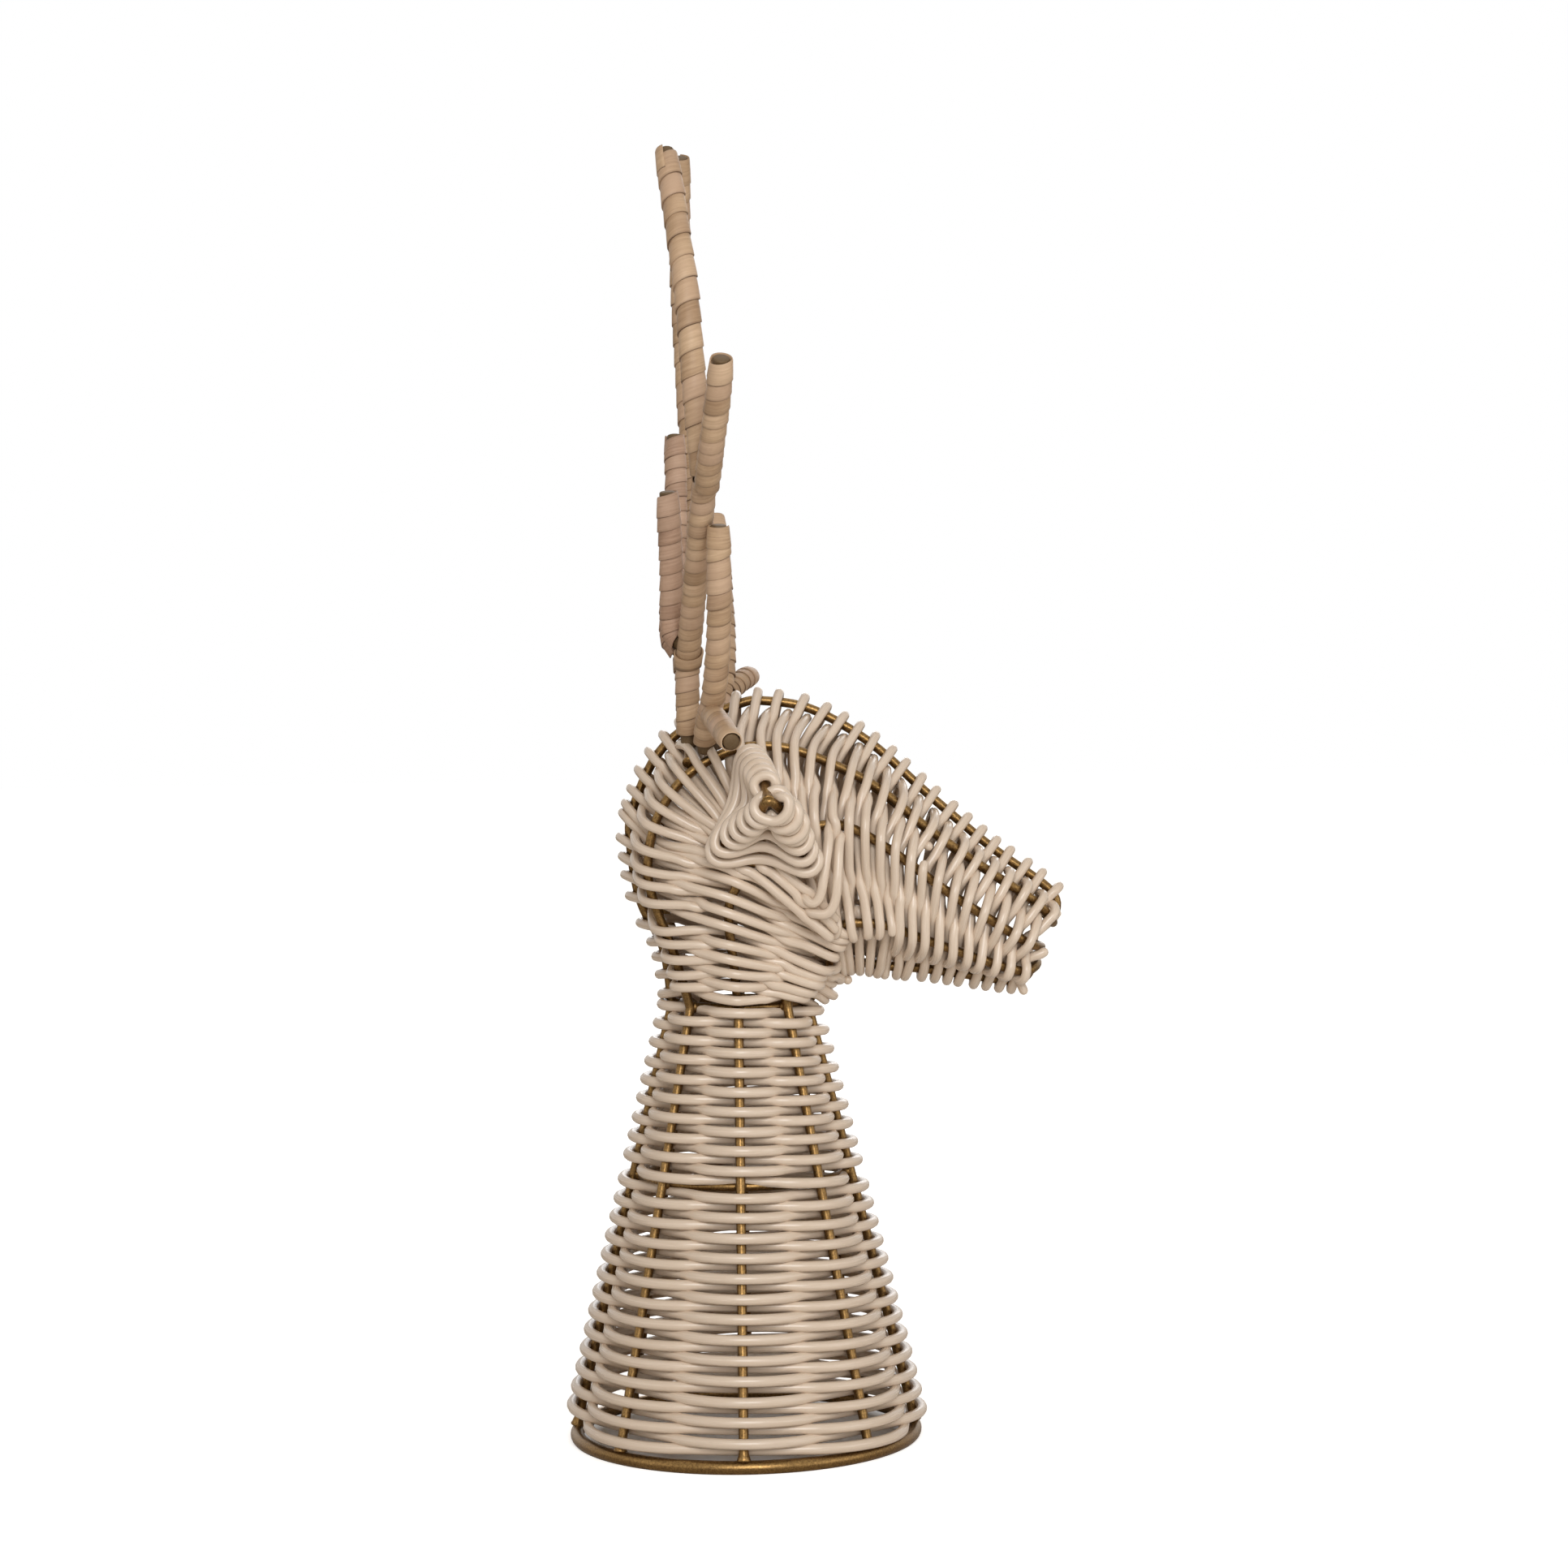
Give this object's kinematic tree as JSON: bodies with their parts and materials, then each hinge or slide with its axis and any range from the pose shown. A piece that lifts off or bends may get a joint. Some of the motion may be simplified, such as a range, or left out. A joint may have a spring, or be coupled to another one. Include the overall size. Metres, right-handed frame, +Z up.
{
  "type": "woven reindeer bust",
  "caption": "Table ornament: a reindeer's head on a conical neck, round cane woven over a bronze wire frame, with strip-wound antlers, standing on a wire ring.",
  "frame": {"origin": "on the surface that the base ring stands on, under the middle of the whole object's box, 23.7 mm in front of the neck's axis", "axes": "+Z up; +X towards the nose; +Y to the reindeer's own left"},
  "size_m": [0.1586, 0.2179, 0.4193],
  "materials": {
    "bronze": "antique bronze paint, satin, rubbed lighter on the high side",
    "cane": "bleached round cane, dry satin, fine lengthwise grain",
    "strip": "tan flat cane strip, satin, streaked lengthwise"
  },
  "bodies": {
    "root": {"base_ring": "bronze", "neck_mid_ring": "bronze", "neck_top_ring": "bronze", "spine_wire": "bronze", "temple_wire": "bronze", "cheek_wire": "bronze", "jaw_wire": "bronze", "throat_wire": "bronze", "front_rib_right": "bronze", "front_rib_left": "bronze", "antler_bar": "bronze", "ear_ridge_wire_right": "bronze", "ear_ridge_wire_left": "bronze", "ear_bow_wire_right": "bronze", "ear_bow_wire_left": "bronze", "neck_cane_lower": "cane", "neck_cane_upper": "cane", "nape_weave": "cane", "face_weave": "cane", "ear_weave_right": "cane", "ear_weave_left": "cane", "antler_right_beam": "bronze", "antler_right_rear_tine": "bronze", "antler_right_outer_tine": "bronze", "antler_right_front_tine": "bronze", "antler_right_brow_tine": "bronze", "antler_right_stem_strip": "strip", "antler_right_fork_binding": "strip", "antler_right_beam_strip": "strip", "antler_right_top_strip": "strip", "antler_right_rear_tine_strip": "strip", "antler_right_outer_tine_strip": "strip", "antler_right_front_tine_strip": "strip", "antler_right_brow_tine_strip": "strip", "antler_left_beam": "bronze", "antler_left_rear_tine": "bronze", "antler_left_outer_tine": "bronze", "antler_left_front_tine": "bronze", "antler_left_brow_tine": "bronze", "antler_left_stem_strip": "strip", "antler_left_fork_binding": "strip", "antler_left_beam_strip": "strip", "antler_left_top_strip": "strip", "antler_left_rear_tine_strip": "strip", "antler_left_outer_tine_strip": "strip", "antler_left_front_tine_strip": "strip", "antler_left_brow_tine_strip": "strip"}
  },
  "joints": []
}
